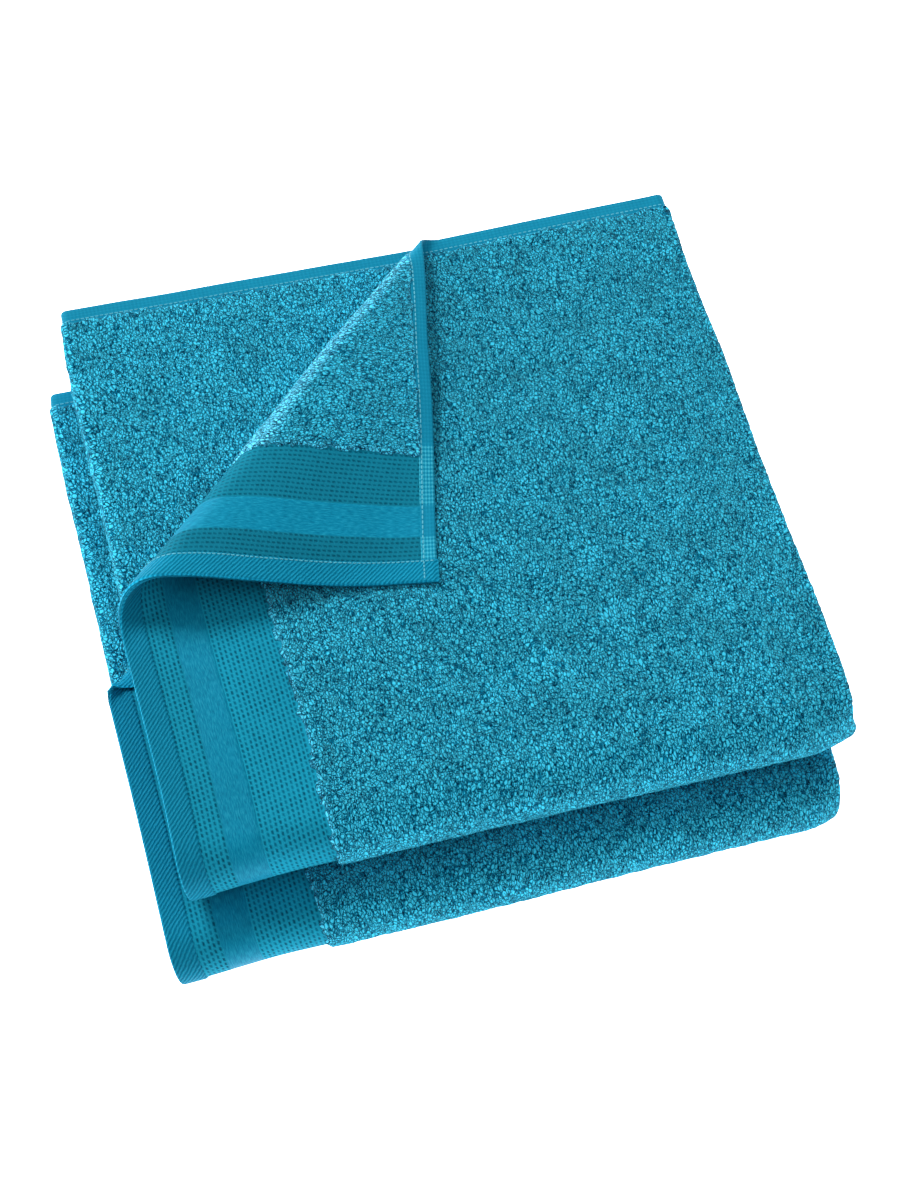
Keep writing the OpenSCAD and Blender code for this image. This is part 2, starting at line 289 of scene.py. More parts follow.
    def press(self, s, q, new_x, z, turned):
        """Squeezes the turned corner and the cloth right under it into one layer, except
        at the end hem, which stays rolled."""
        under = np.maximum(q, 0) / self.shrink
        from_x = self.crease_start[0] + (s - under * self.slip) * self.along[0]
        from_y = self.crease_start[1] + (s - under * self.slip) * self.along[1]
        to_hem = from_x - under * self.across[0] - self.left
        to_selvedge = self.back + HEM_TAB - from_y + under * self.across[1]
        covered = ease(np.minimum(to_hem, to_selvedge) / (3 * MM) + 0.5)
        doubled = np.where(turned > 0, 1.0, covered)
        squeeze = doubled * ease((new_x - self.left - 1 * MM) / (9 * MM))
        level = self.terry_t / 4 * (2 * ease(turned) - 1)
        return z * (1 - squeeze) + level * squeeze, squeeze

    def middle_surface(self, a, v):
        """Points on the middle of the cloth, v being -1 at the lower selvedge and 1 at
        the upper one, how far each has turned over the crease and how far it is pressed."""
        x, r = self.path(a)
        first = 1 - np.clip(a / self.marks[1], 0, 1)
        width = self.half_width(r)
        w = v * width
        x = x + TUCKED_UNDER * first * ease((HEM_CURVE - w) / (60 * MM))
        bulge = HEM_BULGE * (1 - ease(a / (60 * MM))) * np.exp(-(w / (26 * MM)) ** 2)
        flat = np.abs(w) - math.pi * r / 2
        lying = flat > 0
        y_flat = self.roll_y + flat
        outer = lying & (w > 0) & (a < self.marks[1])
        new_x, new_y, lift, turned, squeeze = self.fold_corner(x, np.where(outer, y_flat, -1.0))
        turned = np.where(outer, turned, 0.0)
        angle = w / r
        r = r - self.drop(a) * (1 - turned)
        y = np.where(lying, y_flat, self.roll_y - r * np.cos(angle)) - bulge
        z = self.roll_z + np.where(lying, np.sign(w) * r, r * np.sin(angle))
        x = np.where(outer, new_x, x)
        y = np.where(outer, new_y, y)
        z = z + np.where(outer, lift, 0.0)
        cos, sin = math.cos(math.radians(self.turn_deg)), math.sin(math.radians(self.turn_deg))
        dx, dy = x - self.middle.x, y - self.middle.y
        placed = np.stack([
            self.middle.x + dx * cos - dy * sin, self.middle.y + dx * sin + dy * cos, z
        ], axis=-1)
        return soften(placed), turned, np.where(outer, squeeze, 0.0)

    def surface(self, a, v):
        """Middle of the cloth, its normal on the side that faces out, turn and squeeze."""
        step_a, step_v = 0.2 * MM, 0.0005
        mid, turned, squeeze = self.middle_surface(a, v)
        da = self.middle_surface(a + step_a, v)[0] - self.middle_surface(a - step_a, v)[0]
        dv = self.middle_surface(a, v + step_v)[0] - self.middle_surface(a, v - step_v)[0]
        normal = np.cross(da, dv)
        normal /= np.linalg.norm(normal, axis=-1)[..., None] + 1e-12
        return mid, normal, turned, squeeze

    def share(self, a, e):
        """v at the distance e in from the upper selvedge."""
        return 1 - e / self.half_width(self.path(a)[1])


def spaced(stops):
    """Grid lines through a list of (position, spacing up to the next stop)."""
    lines = []
    for (start, step), (end, _) in zip(stops, stops[1:]):
        count = max(1, int(round((end - start) / step)))
        lines.extend(np.linspace(start, end, count, endpoint=False))
    return np.array(lines + [stops[-1][0]])


def edged(lines, rim):
    """Adds close lines at both ends, where an edge is rounded off."""
    near = np.array([0.25, 0.6, 1.0]) * rim
    inner = lines[(lines > lines[0] + 1.2 * rim) & (lines < lines[-1] - 1.2 * rim)]
    return np.concatenate([[lines[0]], lines[0] + near, inner, (lines[-1] - near)[::-1], [lines[-1]]])


def rounding(lines, rim, at_start, at_end):
    """Share of the full thickness along the grid lines, falling to a rounded edge."""
    share = np.ones(len(lines))
    for active, distance in ((at_start, lines - lines[0]), (at_end, lines[-1] - lines)):
        if active:
            inside = np.clip(distance / rim, 0, 1)
            share *= np.sqrt(np.clip(1 - (1 - inside) ** 2 * 0.9, 0.05, 1))
    return share


def grid_faces(rows, columns, start, flip):
    """The quads of a grid whose points start at the index start."""
    i, j = np.meshgrid(np.arange(rows - 1), np.arange(columns - 1), indexing="ij")
    corner = start + i * columns + j
    faces = np.stack([corner, corner + columns, corner + columns + 1, corner + 1], -1)
    faces = faces.reshape(-1, 4)
    return faces[:, ::-1] if flip else faces


def wall_faces(rows, columns):
    """Strips that close a slab between its outer grid and its inner grid."""
    size = rows * columns
    loop = np.concatenate([
        np.arange(columns - 1),
        np.arange(rows - 1) * columns + columns - 1,
        size - 1 - np.arange(columns - 1),
        (rows - 1 - np.arange(rows - 1)) * columns,
    ])
    after = np.roll(loop, -1)
    return np.stack([loop, after, after + size, loop + size], -1)


def make_mesh(name, points, faces, cloth, lightening_share):
    """A smooth mesh that also carries the cloth's own coordinates for its weave, and
    how much its pile is coloured lighter: a painted highlight over the crease, and paler edges."""
    mesh = bpy.data.meshes.new(name)
    mesh.vertices.add(len(points))
    mesh.vertices.foreach_set("co", points.astype(np.float32).ravel())
    mesh.loops.add(faces.size)
    mesh.loops.foreach_set("vertex_index", faces.astype(np.int32).ravel())
    mesh.polygons.add(len(faces))
    mesh.polygons.foreach_set("loop_start", np.arange(0, faces.size, 4, dtype=np.int32))
    mesh.polygons.foreach_set("use_smooth", np.ones(len(faces), bool))
    attribute = mesh.attributes.new("cloth", "FLOAT_VECTOR", "POINT")
    attribute.data.foreach_set("vector", cloth.astype(np.float32).ravel())
    # How much the pile's colour is lightened: a painted highlight over the crease, and paler pile at the
    # edges
    painted_lightening = mesh.attributes.new("painted_lightening", "FLOAT", "POINT")
    painted_lightening.data.foreach_set("value", lightening_share.astype(np.float32).ravel())
    mesh.update(calc_edges=True)
    mesh.validate()
    made = bpy.data.objects.new(name, mesh)
    bpy.context.scene.collection.objects.link(made)
    return made


def fasten(made, towel, turned, nodes, material):
    """Joins a piece to its body, or across the crease where the cloth is turned."""
    made.data.materials.append(material)
    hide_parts(*[towel.name + "_" + n for n in nodes])
    if towel.body == "upper_towel" and turned.max() > 0:
        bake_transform(made)
    else:
        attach(made, towel.body)


def cloth_grid(towel, a_lines, e_range, t_lines):
    """A piece's grid in a and v, and its lines across. See slab for e_range."""
    a = np.repeat(a_lines[:, None], len(t_lines), axis=1)
    if len(e_range) == 3:
        start, end, half = e_range
        e = start + (end - start) * (t_lines + 1) / 2
        v = half * towel.share(a, np.repeat(e[None, :], len(a_lines), axis=0))
        return (a, v[:, ::-1], t_lines[::-1]) if half > 0 else (a, v, t_lines)
    low = -towel.share(a, e_range[0])
    high = towel.share(a, e_range[1])
    return a, low + (high - low) * (t_lines[None, :] + 1) / 2, t_lines


def fray(a, v, w, half_width, border):
    """Makes the pile's edges ragged. border is where the pile meets a woven band, or None.
    Returns the moved a and v, and how much paler the pile is coloured near its edges."""
    cell = 2.6 * MM
    reach = 6 * MM
    from_side = half_width * (1 - np.abs(v)) - SIDE_HEM
    stray = 1.3 * MM * RAGGED(a, np.sign(w) + 0.5, cell) * (1 - ease(from_side / reach))
    moved_v = v + np.sign(v) * stray / half_width
    # How much paler the pile is coloured near the side hems, and below near the border
    paler_edges = 1 - ease(from_side * 2 / reach)
    if border is None:
        return a, moved_v, paler_edges
    inside = a - border
    paler_edges = np.maximum(paler_edges, 1 - ease(inside * 2 / reach))
    return a - 1.4 * MM * RAGGED(w, 0.5, cell) * (1 - ease(inside / reach)), moved_v, paler_edges


def slab(towel, name, nodes, material, a_lines, e_range, t_lines, thick,
         pile=0.0, lip=0.0, rim=0.8 * MM, round_a=(True, True)):
    """A closed piece of cloth. e_range is (lower, upper) distance in from the selvedges,
    or (from, to) on one half where it has a third value, 1 for the top half or -1. pile is
    how high its clumps of loops stand, and lip how much further the inner face reaches at
    the first edge. rim rounds the sides, and the ends that round_a names."""
    a, v, t_lines = cloth_grid(towel, a_lines, e_range, t_lines)
    half_width = towel.half_width(towel.path(a)[1])
    w = v * half_width
    paler_edges = np.zeros_like(a)
    if pile:
        a, v, paler_edges = fray(a, v, w, half_width, a_lines[0] if round_a[0] else None)
    mid, normal, turned, squeeze = towel.surface(a, v)
    from_side = np.abs(t_lines - t_lines[0]) / 2 * abs(w[0, -1] - w[0, 0])
    round_off = np.outer(
        rounding(a_lines, rim, *round_a), rounding(from_side, rim, True, True)
    )
    outer = inner = thick / 2 * round_off * (1 - 0.5 * squeeze)
    if pile:
        clumps = PILE(a, w, 2.1 * MM) * 0.6 + PILE(a + 1, w, 7 * MM) * 0.4
        tufts = RAGGED(a, w + 2, 2.1 * MM) * 0.6 + RAGGED(a, w + 1, 7 * MM) * 0.4
        outer = outer + pile * clumps * round_off
        inner = inner + pile * tufts * round_off
    under, under_normal, under_a = mid, normal, a
    if lip:
        under_a = a - lip * (1 - ease((a - a_lines[0]) / (4 * lip)))
        under, under_normal = towel.surface(under_a, v)[:2]
    points = np.concatenate([
        (mid + normal * outer[..., None]).reshape(-1, 3),
        (under - under_normal * inner[..., None]).reshape(-1, 3),
    ])
    rows, columns = a.shape
    faces = np.concatenate([
        grid_faces(rows, columns, 0, False),
        grid_faces(rows, columns, rows * columns, True),
        wall_faces(rows, columns)[:, ::-1],
    ])
    cloth = np.concatenate([
        np.stack([a, w, 0 * a], -1).reshape(-1, 3),
        np.stack([under_a, w + REVERSE_SHIFT, 0 * a + 1], -1).reshape(-1, 3),
    ])
    turns = np.tile(turned.ravel(), 2)
    # Painted highlight on the inner face, strongest halfway round the crease, and paler pile at the edges
    crease_highlight = np.clip(7 * turns * (1 - turns), 0, 1) * cloth[:, 2]
    lightening_share = np.maximum(crease_highlight, 0.5 * np.tile(paler_edges.ravel(), 2))
    made = make_mesh(towel.name + "_towel_" + name, points, faces, cloth, lightening_share)
    fasten(made, towel, turns, nodes, material)


# A stitch: half its width and height, the sides of its section, and its swelling from
# end to end as (share of the length, share of the thickness)
STITCH_WIDTH = 0.36 * MM
STITCH_HEIGHT = 0.28 * MM
STITCH_SIDES = 6
STITCH_SWELL = ((0.0, 0.15), (0.18, 0.85), (0.5, 1.0), (0.82, 0.85), (1.0, 0.15))
STITCH_SHORTEST = 0.5 * MM


def stitch_faces(first):
    """The faces of one stitch whose points start at the index first."""
    faces = []
    for low in range(first, first + (len(STITCH_SWELL) - 1) * STITCH_SIDES, STITCH_SIDES):
        high = low + STITCH_SIDES
        for c in range(STITCH_SIDES):
            after = (c + 1) % STITCH_SIDES
            faces.append((low + c, low + after, high + after, high + c))
    last = first + (len(STITCH_SWELL) - 1) * STITCH_SIDES
    faces.append((first, first + 3, first + 2, first + 1))
    faces.append((first, first + 5, first + 4, first + 3))
    faces.append((last, last + 1, last + 2, last + 3))
    faces.append((last, last + 3, last + 4, last + 5))
    return faces


def stitches(towel, name, nodes, material, runs):
    """Rows of short stitches. Each run is (a, v, height above the middle) along a seam.
    A stitch takes its own place across the twist of the thread."""
    ring = np.linspace(0, 2 * math.pi, STITCH_SIDES, endpoint=False)
    points, faces, cloth, turns = [], [], [], []
    for a, v, height in runs:
        mid, normal, turned, squeeze = towel.surface(a, v)
        centre = mid + normal * (height * (1 - 0.5 * squeeze))[..., None]
        for k in range(len(a) - 1):
            pitch = np.linalg.norm(centre[k + 1] - centre[k])
            if pitch < STITCH_SHORTEST:
                continue
            along = (centre[k + 1] - centre[k]) / pitch
            up = normal[k] - along * (normal[k] @ along)
            up /= np.linalg.norm(up)
            side = np.cross(along, up)
            first = len(points)
            for share, swell in STITCH_SWELL:
                at = centre[k] + along * pitch * (0.1 + 0.8 * share)
                at = at + up * STITCH_HEIGHT * (swell - 1)
                for t in ring:
                    spot = side * math.cos(t) * STITCH_WIDTH + up * math.sin(t) * STITCH_HEIGHT
                    points.append(at + spot * swell)
                    cloth.append((a[k] + share * pitch, first * MM, 0))
                    turns.append(turned[k])
            faces.extend(stitch_faces(first))
    cloth = np.array(cloth)
    made = make_mesh(
        towel.name + "_towel_" + name, np.array(points), np.array(faces), cloth, 0 * cloth[:, 0]
    )
    fasten(made, towel, np.array(turns), nodes, material)


def seam(towel, start, end, pitch, height, hold=None):
    """Stitch ends from one (a, v) to another. hold is (e, half) to keep to a selvedge."""
    span = [end[0] - start[0], (end[1] - start[1]) * 0.35]
    count = max(2, int(round(np.linalg.norm(span) / pitch)) + 1)
    t = np.linspace(0, 1, count)
    a = start[0] + (end[0] - start[0]) * t
    v = start[1] + (end[1] - start[1]) * t
    if hold:
        v = hold[1] * towel.share(a, hold[0])
    return a, v, np.full(count, height)


# Materials. Each is a network over the cloth's own coordinates, so a weave follows its
# thread through every fold.

def add(tree, kind, values=None, **settings):
    """A shader node with its inputs set, or linked where a value is a socket."""
    made = tree.nodes.new("ShaderNode" + kind)
    for key, value in settings.items():
        setattr(made, key, value)
    for key, value in (values or {}).items():
        if isinstance(value, bpy.types.NodeSocket):
            tree.links.new(value, made.inputs[key])
        else:
            made.inputs[key].default_value = value
    return made


def arithmetic(tree, operation, first, second=0.0, third=0.0):
    """The result of a Math node."""
    return add(tree, "Math", {0: first, 1: second, 2: third}, operation=operation).outputs[0]


Cloth = namedtuple("Cloth", "vector a w reverse")


def cloth_coordinates(tree):
    """The cloth's own coordinates: a, w, and reverse, which is 1 on the inner face."""
    found = add(tree, "Attribute", attribute_name="cloth")
    parts = add(tree, "SeparateXYZ", {0: found.outputs["Vector"]})
    return Cloth(found.outputs["Vector"], parts.outputs[0], parts.outputs[1], parts.outputs[2])


def remap(tree, value, low, high, new_low=0.0, new_high=1.0):
    """A value moved from one range to another, and held inside it."""
    return add(tree, "MapRange", {
        "Value": value, "From Min": low, "From Max": high,
        "To Min": new_low, "To Max": new_high,
    }).outputs[0]


def colours(tree, value, *stops):
    """A colour ramp from (position, colour) stops."""
    ramp = add(tree, "ValToRGB", {0: value})
    elements = ramp.color_ramp.elements
    while len(elements) < len(stops):
        elements.new(0.5)
    for element, (position, colour) in zip(elements, stops):
        element.position = position
        element.color = (*colour, 1)
    return ramp.outputs[0]


def mottled(tree, coordinates, colour, amount):
    """The dye takes a little unevenly over the cloth."""
    patches = add(tree, "TexNoise", {
        "Vector": coordinates, "Scale": 34.0, "Detail": 3.0, "Roughness": 0.6,
    }).outputs[0]
    value = remap(tree, patches, 0.3, 0.7, 1 - amount, 1 + amount)
    return add(tree, "HueSaturation", {"Value": value, "Color": colour}).outputs[0]


def finished(name, colour_of, rough, sheen, bump, depth, specular=0.25):
    """A cloth material. colour_of returns a colour and a height for the bump."""
    material = bpy.data.materials.new(name)
    material.use_nodes = True
    tree = material.node_tree
    shader = tree.nodes["Principled BSDF"]
    colour, height = colour_of(tree)
    raised = add(tree, "Bump", {"Strength": bump, "Distance": depth, "Height": height})
    tree.links.new(colour, shader.inputs["Base Color"])
    tree.links.new(raised.outputs[0], shader.inputs["Normal"])
    shader.inputs["Roughness"].default_value = rough
    shader.inputs["Specular IOR Level"].default_value = specular
    shader.inputs["Specular Tint"].default_value = (0.15, 0.7, 0.9, 1)
    shader.inputs["Sheen Weight"].default_value = sheen
    shader.inputs["Sheen Roughness"].default_value = 0.3
    shader.inputs["Sheen Tint"].default_value = (0.2, 0.75, 1.0, 1)
    return material


# The pile's colours: painted shade in the gaps between the loops, the loops' own colour, and a painted
# highlight on their tips
GAP_SHADE = (0.0005, 0.020, 0.042)
MIDDLE = (0.002, 0.24, 0.43)
TIP_HIGHLIGHT = (0.06, 0.70, 0.97)


def terry_colour(tree):
    """Looped pile: small curls with painted shade in the gaps between them and a painted highlight on
    their tips, brushed this way and that.
    """
    cloth = cloth_coordinates(tree)
    drift = add(tree, "TexNoise", {"Vector": cloth.vector, "Scale": 45.0, "Detail": 1.0})
    leaning = add(tree, "VectorMath", {
        0: drift.outputs["Color"], 1: (0.006, 0.006, 0.0), 2: cloth.vector,
    }, operation="MULTIPLY_ADD")
    drawn = add(tree, "VectorMath", {
        0: leaning.outputs[0], 1: (1.0, 0.6, 1.0),
    }, operation="MULTIPLY")
    curls = add(tree, "TexNoise", {
        "Vector": drawn.outputs[0], "Scale": 620.0, "Detail": 1.5, "Roughness": 0.5,
        "Distortion": 1.0,
    }).outputs[0]
    loops = add(tree, "TexVoronoi", {
        "Vector": drawn.outputs[0], "Scale": 660.0,
    }, feature="DISTANCE_TO_EDGE")
    fibres = add(tree, "TexNoise", {
        "Vector": cloth.vector, "Scale": 1900.0, "Detail": 1.0, "Roughness": 0.6,
    }).outputs[0]
    away = arithmetic(tree, "ABSOLUTE", arithmetic(tree, "SUBTRACT", curls, 0.5))
    slits = remap(tree, away, 0.0, 0.06)
    gaps = remap(tree, loops.outputs["Distance"], 0.0, 0.14, 0.2, 1.0)
    body = arithmetic(tree, "MULTIPLY", slits, gaps)
    height = arithmetic(tree, "MULTIPLY_ADD", fibres, 0.7, body)
    shade = remap(tree, height, 0.4, 1.4)
    # Painted shade in the gaps between the loops and a painted highlight on their tips, with the loops'
    # own colour between
    colour = colours(tree, shade, (0.0, GAP_SHADE), (0.45, MIDDLE), (0.88, TIP_HIGHLIGHT))
    nap = add(tree, "TexNoise", {
        "Vector": cloth.vector, "Scale": 48.0, "Detail": 2.5, "Roughness": 0.6,
    }).outputs[0]
    # Painted highlight: the pile is coloured lighter and a little greyer where it turns over the crease,
    # and paler at its edges
    painted_lightening = add(tree, "Attribute", attribute_name="painted_lightening").outputs["Fac"]
    value = arithmetic(
        tree, "MULTIPLY_ADD", cloth.reverse, 0.12, remap(tree, nap, 0.3, 0.7, 0.85, 1.13)
    )
    value = arithmetic(tree, "MULTIPLY_ADD", painted_lightening, 0.5, value)
    fade = arithmetic(tree, "MULTIPLY_ADD", painted_lightening, -0.08, 1.0)
    brushed = add(tree, "HueSaturation", {
        "Value": value, "Saturation": fade, "Color": colour,
    }).outputs[0]
    return mottled(tree, cloth.vector, brushed, 0.08), height


# A row of dashes across the band, and the length of a dash with its gap
WAFFLE_ROW = 2.4 * MM
WAFFLE_DASH = 3.0 * MM


def waffle_colour(tree):
    """Rows of slanted dashes sunk between ribs, each with its own depth, with painted shade in the
    dashes.
    """
    cloth = cloth_coordinates(tree)
    wander = add(tree, "TexNoise", {"Vector": cloth.vector, "Scale": 420.0, "Detail": 1.0}).outputs[0]
    evenly = arithmetic(tree, "DIVIDE", cloth.a, WAFFLE_ROW)
    rows = arithmetic(tree, "MULTIPLY_ADD", wander, 0.25, evenly)
    row = arithmetic(tree, "FLOOR", rows)
    shift = arithmetic(tree, "MULTIPLY_ADD", row, 0.5, arithmetic(tree, "MULTIPLY", rows, 0.3))
    steps = arithmetic(tree, "ADD", arithmetic(tree, "DIVIDE", cloth.w, WAFFLE_DASH), shift)
    across = arithmetic(tree, "PINGPONG", rows, 0.5)
    along = arithmetic(tree, "PINGPONG", steps, 0.5)
    dash = arithmetic(
        tree, "MULTIPLY",
        remap(tree, across, 0.16, 0.44), remap(tree, along, 0.06, 0.32),
    )
    cell = add(tree, "CombineXYZ", {0: row, 1: arithmetic(tree, "FLOOR", steps)}).outputs[0]
    chance = add(tree, "TexWhiteNoise", {"Vector": cell}).outputs["Value"]
    dash = arithmetic(tree, "MULTIPLY", dash, remap(tree, chance, 0.0, 1.0, 0.6, 1.1))
    grain = add(tree, "TexNoise", {"Vector": cloth.vector, "Scale": 1600.0, "Detail": 1.0}).outputs[0]
    depth = remap(tree, cloth.reverse, 0.0, 1.0, 0.9, 0.65)
    ribs = arithmetic(tree, "SUBTRACT", 1.0, arithmetic(tree, "MULTIPLY", dash, depth))
    height = arithmetic(tree, "MULTIPLY_ADD", grain, 0.5, ribs)
    shade = remap(tree, height, 0.15, 1.4)
    # Painted shade: the sunk dashes are coloured much darker than the ribs
    colour = colours(
        tree, shade, (0.0, (0.001, 0.045, 0.08)), (0.6, (0.003, 0.17, 0.27)),
        (1.0, (0.010, 0.29, 0.43)),
    )
    open_weave = remap(tree, cloth.reverse, 0.0, 1.0, 1.12, 0.83)
    satin_start = END_HEM + NARROW_BAND
    near_hem = remap(tree, cloth.a, satin_start, satin_start + SATIN_BAND, 0.9, 1.0)
    value = arithmetic(tree, "MULTIPLY", open_weave, near_hem)
    paler = add(tree, "HueSaturation", {"Value": value, "Color": colour}).outputs[0]
    return mottled(tree, cloth.vector, paler, 0.06), height


def satin_colour(tree):
    """Smooth weave of long floats that run along the band."""
    cloth = cloth_coordinates(tree)
    squeezed = add(tree, "VectorMath", {0: cloth.vector, 1: (1700.0, 260.0, 400.0)}, operation="MULTIPLY")
    floats = add(tree, "TexNoise", {
        "Vector": squeezed.outputs[0], "Scale": 1.0, "Detail": 2.0, "Roughness": 0.6,
    }).outputs[0]
    colour = colours(
        tree, floats, (0.25, (0.001, 0.15, 0.27)), (0.5, (0.003, 0.235, 0.385)),
        (0.75, (0.015, 0.34, 0.50)),
    )
    value = remap(tree, cloth.reverse, 0.0, 1.0, 0.87, 1.04)
    lustre = add(tree, "HueSaturation", {"Value": value, "Color": colour}).outputs[0]
    return mottled(tree, cloth.vector, lustre, 0.05), floats


# The slope of the end hem's ridges against the hem, and their spacing
TWILL_ANGLE = math.radians(48)
TWILL_PITCH = 1.8 * MM


def twill_colour(tree):
    """Slanting ridges, with a painted highlight along the very end of the towel."""
    cloth = cloth_coordinates(tree)
    across, along = math.sin(TWILL_ANGLE) / TWILL_PITCH, math.cos(TWILL_ANGLE) / TWILL_PITCH
    down_slope = arithmetic(tree, "MULTIPLY", cloth.w, -along)
    slant = arithmetic(tree, "MULTIPLY_ADD", cloth.a, across, down_slope)
    wander = add(tree, "TexNoise", {"Vector": cloth.vector, "Scale": 420.0, "Detail": 2.0}).outputs[0]
    slant = arithmetic(tree, "MULTIPLY_ADD", wander, 0.6, slant)
    ridge = remap(tree, arithmetic(tree, "PINGPONG", slant, 0.5), 0.05, 0.45)
    grain = add(tree, "TexNoise", {"Vector": cloth.vector, "Scale": 1100.0, "Detail": 1.0}).outputs[0]
    height = arithmetic(tree, "MULTIPLY_ADD", grain, 0.7, ridge)
    shade = remap(tree, height, 0.1, 1.6)
    colour = colours(
        tree, shade, (0.0, (0.001, 0.11, 0.195)), (0.5, (0.003, 0.195, 0.325)),
        (1.0, (0.012, 0.28, 0.43)),
    )
    # Painted highlight along the fold at the very end of the towel
    edge_highlight = remap(tree, cloth.a, 0.9 * MM, 0.2 * MM, 0.94, 1.6)
    value = arithmetic(tree, "MULTIPLY_ADD", cloth.reverse, 0.29, edge_highlight)
    bright = add(tree, "HueSaturation", {"Value": value, "Color": colour}).outputs[0]
    return mottled(tree, cloth.vector, bright, 0.05), height


# The spacing of the side hem's knots, along the hem and across it
KNOT_ALONG = 2.2 * MM
KNOT_ACROSS = 1.9 * MM


def tape_colour(tree):
    """Knotted weave of the side hem, strongest beside the waffle bands."""
    cloth = cloth_coordinates(tree)
    first = arithmetic(tree, "PINGPONG", arithmetic(tree, "DIVIDE", cloth.a, KNOT_ALONG), 0.5)
    second = arithmetic(tree, "PINGPONG", arithmetic(tree, "DIVIDE", cloth.w, KNOT_ACROSS), 0.5)
    knots = remap(tree, arithmetic(tree, "ADD", first, second), 0.15, 0.85)
    beside_border = remap(tree, cloth.a, BORDER + 2 * MM, BORDER, 0.35, 1.0)
    from_satin = arithmetic(tree, "ABSOLUTE", arithmetic(tree, "SUBTRACT", cloth.a, SATIN_MIDDLE))
    beside_satin = remap(tree, from_satin, SATIN_BAND / 2 + MM, SATIN_BAND / 2, 1.0, 0.35)
    knots = arithmetic(
        tree, "MULTIPLY", knots, arithmetic(tree, "MINIMUM", beside_border, beside_satin)
    )
    grain = add(tree, "TexNoise", {"Vector": cloth.vector, "Scale": 1500.0, "Detail": 1.0}).outputs[0]
    height = arithmetic(tree, "MULTIPLY_ADD", grain, 0.5, knots)
    shade = remap(tree, height, 0.1, 1.4)
    colour = colours(
        tree, shade, (0.0, (0.004, 0.19, 0.32)), (0.4, (0.01, 0.27, 0.43)),
        (0.8, (0.05, 0.46, 0.62)),
    )
    return mottled(tree, cloth.vector, colour, 0.05), height


def thread_colour(tree):
    """Twisted sewing thread, paler than the cloth."""
    cloth = cloth_coordinates(tree)
    twist = add(tree, "TexWave", {
        "Vector": cloth.vector, "Scale": 900.0, "Distortion": 1.5,
    }, bands_direction="DIAGONAL").outputs[1]
    colour = colours(tree, twist, (0.0, (0.06, 0.42, 0.55)), (1.0, (0.22, 0.68, 0.80)))
    return colour, twist


TERRY = finished("terry", terry_colour, 0.95, 0.35, 0.85, 1.0 * MM, 0.08)
WAFFLE = finished("waffle", waffle_colour, 0.8, 0.08, 0.8, 0.5 * MM, 0.15)
SATIN = finished("satin", satin_colour, 0.58, 0.05, 0.3, 0.2 * MM, 0.22)
TWILL = finished("twill", twill_colour, 0.75, 0.08, 0.7, 0.45 * MM, 0.15)
TAPE = finished("tape", tape_colour, 0.8, 0.1, 0.6, 0.4 * MM, 0.15)
THREAD = finished("thread", thread_colour, 0.55, 0.1, 0.4, 0.15 * MM, 0.4)


# Grid spacing where nothing shows and round the folds, and how wide the edges of the pieces
# are rounded off
COARSE = 5 * MM
ROUND_FOLDS = 1 * MM
PILE_RIM = 1.4 * MM
HEM_RIM = 1.0 * MM
BAND_RIM = 0.2 * MM

# Distances in from the selvedge: the pile reaches the side hem and the bands go under it
PILE_SIDES = (SIDE_HEM, SIDE_HEM)
BAND_SIDES = (SIDE_HEM - TUCK, SIDE_HEM - TUCK)
HEM_SIDES = (-HEM_TAB, -HEM_TAB)


def width_lines(towel, fine, from_w, to_w):
    """Grid lines across the cloth as shares from -1 to 1, fine between two places."""
    low, high = max(from_w, -towel.half), min(to_w, towel.half)
    stops = [(-towel.half, COARSE), (low, fine)] if low > -towel.half else [(low, fine)]
    if high < towel.half:
        stops.append((high, COARSE))
    stops.append((towel.half, COARSE))
    return spaced(stops) / towel.half


def with_rims(towel, lines):
    """Closer grid lines at both selvedges, for the rounded rims of the pile."""
    return edged(lines * towel.half, PILE_RIM) / towel.half


def weave_border(towel, fine, across):
    """The outer end hem and the three bands beside it, with those of the turned corner."""
    hem, narrow = END_HEM, END_HEM + NARROW_BAND
    satin = narrow + SATIN_BAND
    slab(towel, "outer_end_hem", ["outer_end_hem", "flap_end_hem"], TWILL,
         edged(spaced([(0, 1.6 * MM), (hem, 1)]), HEM_RIM), HEM_SIDES, across,
         END_HEM_T, rim=HEM_RIM)
    slab(towel, "outer_narrow_band", ["outer_narrow_band", "flap_narrow_band"],
         WAFFLE, edged(spaced([(hem - TUCK, fine), (narrow, 1)]), BAND_RIM), BAND_SIDES, across,
         BAND_T, rim=BAND_RIM, round_a=(False, True))
    slab(towel, "outer_satin_band", ["outer_satin_band", "flap_satin_band"],
         SATIN, edged(spaced([(narrow - TUCK, fine), (satin, 1)]), BAND_RIM), BAND_SIDES, across,
         BAND_T - STEP, rim=BAND_RIM, round_a=(False, True))
    slab(towel, "outer_wide_band", ["outer_wide_band", "flap_wide_band"], WAFFLE,
         edged(spaced([(satin - TUCK, fine), (BORDER + 2 * TUCK, 1)]), BAND_RIM), BAND_SIDES,
         across, BAND_T - 2 * STEP, rim=BAND_RIM, round_a=(False, False))


